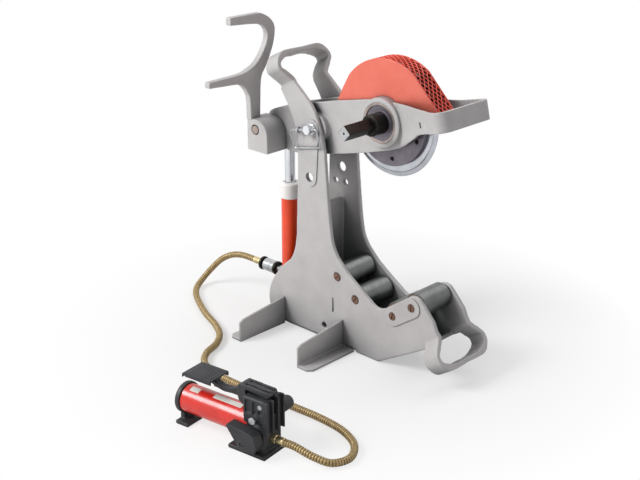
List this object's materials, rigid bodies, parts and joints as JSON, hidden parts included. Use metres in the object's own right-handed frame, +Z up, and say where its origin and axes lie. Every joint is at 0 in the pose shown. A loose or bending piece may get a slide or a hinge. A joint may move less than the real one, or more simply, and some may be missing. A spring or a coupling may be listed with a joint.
{
  "type": "power pipe cutter",
  "caption": "Roller-bed pipe cutter: driven wheel on a pivoting guarded arm, fed down by a hydraulic cylinder, with drive support fork, carry loops, hose and foot pump.",
  "frame": {"origin": "on the underside of the floor plate, midway between the two frame plates, on the floor", "axes": "+X towards the front handle, -Y towards the drive side, +Z up"},
  "size_m": [0.845, 0.7394, 0.7262],
  "materials": {
    "frame_paint": "satin grey enamel on a casting",
    "guard_paint": "satin salmon red enamel",
    "cylinder_paint": "gloss orange red enamel",
    "collar_paint": "cream enamel",
    "chrome": "polished",
    "steel": "turned",
    "black_steel": "blackened",
    "roller_steel": "turned, oiled",
    "bronze": "sintered bronze",
    "hub_metal": "blued",
    "brass": "plated",
    "hose_cover": "ribbed cover",
    "tank_paint": "gloss red enamel",
    "pump_black": "black powder coat"
  },
  "bodies": {
    "frame": {"frame_casting": "frame_paint", "foot_rear_near": "frame_paint", "foot_rear_far": "frame_paint", "foot_front_near": "frame_paint", "foot_front_far": "frame_paint", "roller_axle_1": "bronze", "roller_axle_2": "bronze", "roller_axle_3": "bronze", "roller_axle_4": "bronze", "pivot_pin": "chrome", "lock_pin": "steel", "cylinder_body": "cylinder_paint", "cylinder_bolt": "steel", "cylinder_collar": "collar_paint", "return_spring": "steel", "coupler_nipple": "steel", "coupler_body": "black_steel", "hose_ferrule": "brass", "hose": "hose_cover", "pump_end_cap": "pump_black", "pump_tank": "tank_paint", "pump_head": "pump_black", "treadle_pin": "steel", "valve_barrel": "pump_black", "relief_screw": "steel", "hose_fitting": "brass"},
    "arm": {"arm_casting": "frame_paint", "rod_pin": "steel", "bearing_near": "steel", "bearing_far": "steel", "snap_ring_near": "steel", "snap_ring_far": "steel", "guard_shell": "guard_paint", "guard_mesh": "guard_paint", "yoke_bolt": "bronze"},
    "wheel": {"drive_shaft": "black_steel", "cutter_wheel": "chrome", "hub_plate_near": "hub_metal", "hub_plate_far": "hub_metal", "hub_screw_1": "black_steel", "hub_screw_2": "black_steel", "hub_screw_3": "black_steel", "hub_screw_4": "black_steel", "hub_screw_5": "black_steel", "hub_screw_6": "black_steel"},
    "yoke": {"support_yoke": "frame_paint"},
    "ram": {"piston_rod": "chrome"},
    "bail": {"wire_bail": "steel"},
    "sleeve": {"coupler_sleeve": "steel"},
    "treadle_lever": {"treadle": "pump_black"},
    "plunger": {"pump_plunger": "steel"},
    "pedal": {"release_pedal": "pump_black"},
    "roller_1": {"roller_1": "roller_steel", "roller_bush_1": "bronze"},
    "roller_2": {"roller_2": "roller_steel", "roller_bush_2": "bronze"},
    "roller_3": {"roller_3": "roller_steel", "roller_bush_3": "bronze"},
    "roller_4": {"roller_4": "roller_steel", "roller_bush_4": "bronze"}
  },
  "joints": [
    {"name": "arm_pivot", "type": "hinge", "parent": "frame", "child": "arm", "pos_m": [-0.037, 0, 0.494], "axis": [0, 1, 0], "range_deg": [0, 22], "stiffness_Nm_per_rad": 30, "springref_deg": -57.3},
    {"name": "ram_slide", "type": "slide", "parent": "frame", "child": "ram", "axis": [0, 0, 1], "range_m": [0, 0.04856], "deforming": ["return_spring"]},
    {"name": "yoke_tilt", "type": "hinge", "parent": "arm", "child": "yoke", "pos_m": [-0.1794, 0, 0.47032], "axis": [0, 1, 0], "range_deg": [-22, 0]},
    {"name": "wheel_spin", "type": "hinge", "parent": "arm", "child": "wheel", "pos_m": [0.14444, 0, 0.53924], "axis": [0, 1, 0], "continuous": true},
    {"name": "bail_swing", "type": "hinge", "parent": "frame", "child": "bail", "pos_m": [-0.037, -0.068, 0.494], "axis": [0.9781, 0, 0.2079], "range_deg": [-109, 0]},
    {"name": "sleeve_slide", "type": "slide", "parent": "frame", "child": "sleeve", "axis": [-1, 0, 0], "range_m": [0, 0.005], "stiffness_N_per_m": 500, "springref_m": -0.01},
    {"name": "treadle_press", "type": "hinge", "parent": "frame", "child": "treadle_lever", "pos_m": [0.25542, -0.47708, 0.104], "axis": [0.1392, -0.9903, 0], "range_deg": [0, 7], "stiffness_Nm_per_rad": 8, "springref_deg": -28.65},
    {"name": "plunger_slide", "type": "slide", "parent": "frame", "child": "plunger", "axis": [0, 0, -1], "range_m": [0, 0.00279]},
    {"name": "release_press", "type": "hinge", "parent": "frame", "child": "pedal", "pos_m": [0.23764, -0.52249, 0.0298], "axis": [0.1392, -0.9903, 0], "range_deg": [0, 12], "stiffness_Nm_per_rad": 3, "springref_deg": -17.19},
    {"name": "roller_1_spin", "type": "hinge", "parent": "frame", "child": "roller_1", "pos_m": [0.0395, 0, 0.1665], "axis": [0, 1, 0], "continuous": true},
    {"name": "roller_2_spin", "type": "hinge", "parent": "frame", "child": "roller_2", "pos_m": [0.094, 0, 0.1275], "axis": [0, 1, 0], "continuous": true},
    {"name": "roller_3_spin", "type": "hinge", "parent": "frame", "child": "roller_3", "pos_m": [0.2045, 0, 0.1245], "axis": [0, 1, 0], "continuous": true},
    {"name": "roller_4_spin", "type": "hinge", "parent": "frame", "child": "roller_4", "pos_m": [0.256, 0, 0.16], "axis": [0, 1, 0], "continuous": true}
  ],
  "couplings": [
    {"joint": "ram_slide", "follows": "arm_pivot", "m_per_rad": 0.1262},
    {"joint": "yoke_tilt", "follows": "arm_pivot", "ratio": -1},
    {"joint": "plunger_slide", "follows": "treadle_press", "m_per_rad": 0.022}
  ]
}
